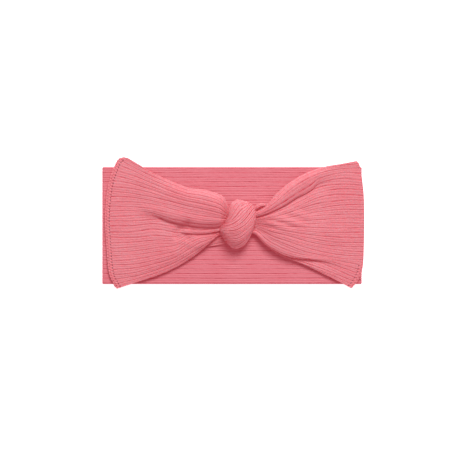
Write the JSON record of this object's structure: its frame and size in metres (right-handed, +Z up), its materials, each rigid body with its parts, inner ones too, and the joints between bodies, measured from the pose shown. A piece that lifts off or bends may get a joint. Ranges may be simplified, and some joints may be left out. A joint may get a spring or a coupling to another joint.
{
  "type": "knotted bow headband",
  "caption": "Soft stretch headband: a wide loop of ribbed knit, lying flat, with a knotted bow on its front. The loop opens and the bow's ends lift.",
  "frame": {"origin": "middle of the face the flat band rests on", "axes": "+X along the loop, +Y towards its upper edge, +Z up, away from the table"},
  "size_m": [0.169, 0.083, 0.0189],
  "materials": {
    "band_knit": "ribbed cotton jersey, coral pink, matte",
    "tie_knit": "ribbed cotton jersey, coral pink, matte",
    "sewing_thread": "fluffy overlock thread, coral pink"
  },
  "bodies": {
    "back_centre": {"band_back_centre": "band_knit", "closing_seam_allowance": "band_knit", "closing_seam_thread": "sewing_thread"},
    "back_inner_right": {"band_back_inner_right": "band_knit"},
    "back_outer_right": {"band_back_outer_right": "band_knit"},
    "front_outer_right": {"band_front_outer_right": "band_knit"},
    "front_inner_right": {"band_front_inner_right": "band_knit"},
    "front_centre": {"band_front_centre_right": "band_knit", "bow_knot": "tie_knit", "knot_tack_stitches": "sewing_thread"},
    "back_inner_left": {"band_back_inner_left": "band_knit"},
    "back_outer_left": {"band_back_outer_left": "band_knit"},
    "front_outer_left": {"band_front_outer_left": "band_knit"},
    "front_inner_left": {"band_front_inner_left": "band_knit"},
    "front_centre_left": {"band_front_centre_left": "band_knit"},
    "tail_left": {"bow_tail_left": "tie_knit", "tail_hem_left": "sewing_thread"},
    "tail_right": {"bow_tail_right": "tie_knit", "tail_hem_right": "sewing_thread"}
  },
  "joints": [
    {"name": "loop_opening", "type": "hinge", "parent": "back_centre", "child": "back_inner_right", "pos_m": [0.01644, 0, 0.0018], "axis": [0, -1, 0], "range_deg": [0, 36]},
    {"name": "back_bend_right", "type": "hinge", "parent": "back_inner_right", "child": "back_outer_right", "pos_m": [0.04932, 0, 0.0018], "axis": [0, -1, 0], "range_deg": [0, 36]},
    {"name": "end_fold_right", "type": "hinge", "parent": "back_outer_right", "child": "front_outer_right", "pos_m": [0.084, 0, 0.0026], "axis": [0, -1, 0], "range_deg": [-144, 0]},
    {"name": "front_bend_right", "type": "hinge", "parent": "front_outer_right", "child": "front_inner_right", "pos_m": [0.04932, 0, 0.0034], "axis": [0, -1, 0], "range_deg": [0, 36]},
    {"name": "front_level_right", "type": "hinge", "parent": "front_inner_right", "child": "front_centre", "pos_m": [0.01644, 0, 0.0034], "axis": [0, -1, 0], "range_deg": [0, 36]},
    {"name": "back_rise_left", "type": "hinge", "parent": "back_centre", "child": "back_inner_left", "pos_m": [-0.01644, 0, 0.0018], "axis": [0, 1, 0], "range_deg": [0, 36]},
    {"name": "back_bend_left", "type": "hinge", "parent": "back_inner_left", "child": "back_outer_left", "pos_m": [-0.04932, 0, 0.0018], "axis": [0, 1, 0], "range_deg": [0, 36]},
    {"name": "end_fold_left", "type": "hinge", "parent": "back_outer_left", "child": "front_outer_left", "pos_m": [-0.084, 0, 0.0026], "axis": [0, 1, 0], "range_deg": [-144, 0]},
    {"name": "front_bend_left", "type": "hinge", "parent": "front_outer_left", "child": "front_inner_left", "pos_m": [-0.04932, 0, 0.0034], "axis": [0, 1, 0], "range_deg": [0, 36]},
    {"name": "front_level_left", "type": "hinge", "parent": "front_inner_left", "child": "front_centre_left", "pos_m": [-0.01644, 0, 0.0034], "axis": [0, 1, 0], "range_deg": [0, 36]},
    {"name": "tail_left_lift", "type": "hinge", "parent": "front_centre", "child": "tail_left", "pos_m": [-0.0116, 0.004, 0.009], "axis": [0, 1, 0], "range_deg": [0, 90]},
    {"name": "tail_right_lift", "type": "hinge", "parent": "front_centre", "child": "tail_right", "pos_m": [0.0202, 0.002, 0.009], "axis": [0, -1, 0], "range_deg": [0, 90]}
  ],
  "couplings": [
    {"joint": "back_bend_right", "follows": "loop_opening", "ratio": 1},
    {"joint": "end_fold_right", "follows": "loop_opening", "ratio": -4},
    {"joint": "front_bend_right", "follows": "loop_opening", "ratio": 1},
    {"joint": "front_level_right", "follows": "loop_opening", "ratio": 1},
    {"joint": "back_rise_left", "follows": "loop_opening", "ratio": 1},
    {"joint": "back_bend_left", "follows": "loop_opening", "ratio": 1},
    {"joint": "end_fold_left", "follows": "loop_opening", "ratio": -4},
    {"joint": "front_bend_left", "follows": "loop_opening", "ratio": 1},
    {"joint": "front_level_left", "follows": "loop_opening", "ratio": 1}
  ]
}
